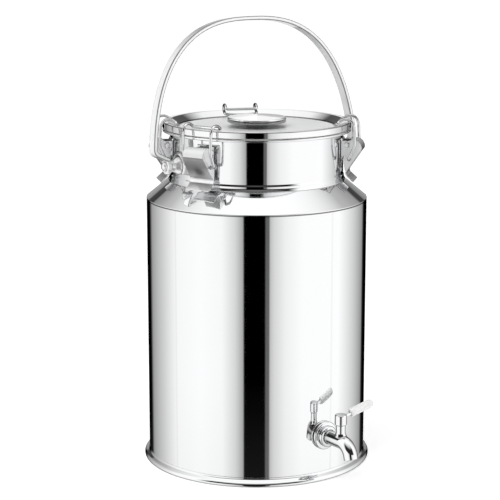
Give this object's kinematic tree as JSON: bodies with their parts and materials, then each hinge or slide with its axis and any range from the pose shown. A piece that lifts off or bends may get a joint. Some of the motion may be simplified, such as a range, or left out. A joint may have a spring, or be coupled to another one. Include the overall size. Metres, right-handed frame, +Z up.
{
  "type": "milk can",
  "caption": "Cylindrical steel milk can with a clamped dished lid, a swinging strip handle and a lever tap near the base.",
  "frame": {"origin": "centre of the underside of the base", "axes": "+Z up along the can axis, X along the bail pivot axis, the tap points to -Y within a few degrees"},
  "size_m": [0.263, 0.3084, 0.5056],
  "materials": {
    "steel_body": "polished stainless",
    "steel_lid": "polished stainless",
    "steel_bail": "polished stainless strip",
    "steel_latch": "polished stainless sheet",
    "steel_wire": "polished stainless wire",
    "steel_tap": "polished stainless",
    "silicone": "soft translucent white",
    "sleeve_white": "smooth white vinyl"
  },
  "bodies": {
    "can": {"base_ring": "steel_body", "bottom_plate": "steel_body", "body_shell": "steel_body", "shoulder_cone": "steel_body", "neck_tube": "steel_body", "mouth_bead": "steel_body", "lid_dish": "steel_lid", "lid_rim": "steel_lid", "lid_knob": "steel_lid", "knob_post": "steel_lid", "knob_screw": "steel_lid", "lid_gasket": "silicone", "bail_bracket_left": "steel_bail", "bail_washer_left": "steel_bail", "bail_stud_left": "steel_bail", "bail_bracket_right": "steel_bail", "bail_washer_right": "steel_bail", "bail_stud_right": "steel_bail", "latch_a_base": "steel_latch", "latch_a_pin": "steel_latch", "latch_b_base": "steel_latch", "latch_b_pin": "steel_latch", "latch_c_base": "steel_latch", "latch_c_pin": "steel_latch", "latch_d_base": "steel_latch", "latch_d_pin": "steel_latch", "tap_spout": "steel_tap", "tap_washer": "steel_tap", "tap_collar": "steel_tap", "tap_lock_nut": "steel_tap", "tap_inner_gasket": "silicone"},
    "bail": {"bail_strip": "steel_bail"},
    "tap_handle": {"tap_plug": "steel_tap", "tap_lever": "steel_tap", "tap_sleeve": "sleeve_white"},
    "lever_a": {"latch_a_lever": "steel_latch"},
    "wire_a": {"latch_a_wire": "steel_wire"},
    "lever_b": {"latch_b_lever": "steel_latch"},
    "wire_b": {"latch_b_wire": "steel_wire"},
    "lever_c": {"latch_c_lever": "steel_latch"},
    "wire_c": {"latch_c_wire": "steel_wire"},
    "lever_d": {"latch_d_lever": "steel_latch"},
    "wire_d": {"latch_d_wire": "steel_wire"}
  },
  "joints": [
    {"name": "bail_swing", "type": "hinge", "parent": "can", "child": "bail", "pos_m": [0, 0, 0.3455], "axis": [1, 0, 0], "range_deg": [-106, 118]},
    {"name": "tap_turn", "type": "hinge", "parent": "can", "child": "tap_handle", "pos_m": [0.01871, -0.15236, 0.0513], "axis": [0, 0, 1], "range_deg": [-90, 0]},
    {"name": "lever_a_open", "type": "hinge", "parent": "can", "child": "lever_a", "pos_m": [-0.09477, -0.0452, 0.366], "axis": [-0.4305, 0.9026, 0], "range_deg": [0, 48]},
    {"name": "wire_a_turn", "type": "hinge", "parent": "lever_a", "child": "wire_a", "pos_m": [-0.09685, -0.04619, 0.3504], "axis": [-0.4305, 0.9026, 0], "range_deg": [-48, 0]},
    {"name": "lever_b_open", "type": "hinge", "parent": "can", "child": "lever_b", "pos_m": [-0.10041, 0.0307, 0.366], "axis": [0.2924, 0.9563, 0], "range_deg": [0, 48]},
    {"name": "wire_b_turn", "type": "hinge", "parent": "lever_b", "child": "wire_b", "pos_m": [-0.10261, 0.03137, 0.3504], "axis": [0.2924, 0.9563, 0], "range_deg": [-48, 0]},
    {"name": "lever_c_open", "type": "hinge", "parent": "can", "child": "lever_c", "pos_m": [0.07924, -0.06889, 0.366], "axis": [-0.6561, -0.7547, 0], "range_deg": [0, 48]},
    {"name": "wire_c_turn", "type": "hinge", "parent": "lever_c", "child": "wire_c", "pos_m": [0.08098, -0.07039, 0.3504], "axis": [-0.6561, -0.7547, 0], "range_deg": [-48, 0]},
    {"name": "lever_d_open", "type": "hinge", "parent": "can", "child": "lever_d", "pos_m": [0.03419, 0.09928, 0.366], "axis": [0.9455, -0.3256, 0], "range_deg": [0, 48]},
    {"name": "wire_d_turn", "type": "hinge", "parent": "lever_d", "child": "wire_d", "pos_m": [0.03493, 0.10145, 0.3504], "axis": [0.9455, -0.3256, 0], "range_deg": [-48, 0]}
  ],
  "couplings": [
    {"joint": "wire_a_turn", "follows": "lever_a_open", "ratio": -1},
    {"joint": "wire_b_turn", "follows": "lever_b_open", "ratio": -1},
    {"joint": "wire_c_turn", "follows": "lever_c_open", "ratio": -1},
    {"joint": "wire_d_turn", "follows": "lever_d_open", "ratio": -1}
  ]
}
